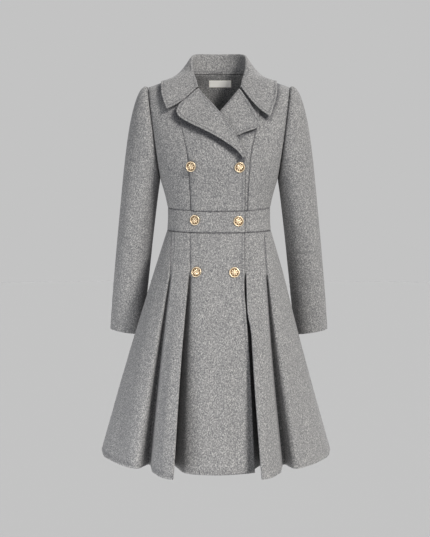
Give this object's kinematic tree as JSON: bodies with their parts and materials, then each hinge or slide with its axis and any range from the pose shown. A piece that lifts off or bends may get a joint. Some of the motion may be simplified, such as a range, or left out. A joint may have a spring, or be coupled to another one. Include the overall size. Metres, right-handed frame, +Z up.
{
  "type": "a-line coat",
  "caption": "Fitted double-breasted wool coat with a wide notched collar, gathered sleeve heads, a waistband and a flared skirt of box pleats, worn shape, buttoned.",
  "frame": {"origin": "midway between the two points where the shoulders meet the neck seam, on the body's mid-plane, where the coat hangs on the wearer", "axes": "+Z up, -Y out of the coat's front, +X towards the wearer's left"},
  "size_m": [0.5763, 0.5481, 0.9985],
  "materials": {
    "wool": "soft brushed grey melange wool",
    "button_metal": "light gold, cast relief",
    "label": "cream woven satin, bare"
  },
  "bodies": {
    "root": {"bodice_front_right_centre": "wool", "bodice_front_left_centre": "wool", "bodice_front_right_side": "wool", "bodice_front_left_side": "wool", "bodice_back_right_side": "wool", "bodice_back_left_side": "wool", "bodice_back_centre": "wool", "waistband_front_right": "wool", "waistband_front_left": "wool", "waistband_back": "wool", "skirt_front_right": "wool", "skirt_front_left": "wool", "skirt_back_right": "wool", "skirt_back_left": "wool", "sleeve_right": "wool", "sleeve_left": "wool", "collar": "wool", "lapel_right": "wool", "lapel_left": "wool", "button_top_right": "button_metal", "button_top_left": "button_metal", "button_waist_right": "button_metal", "button_waist_left": "button_metal", "button_low_right": "button_metal", "button_low_left": "button_metal", "neck_label": "label"}
  },
  "joints": []
}
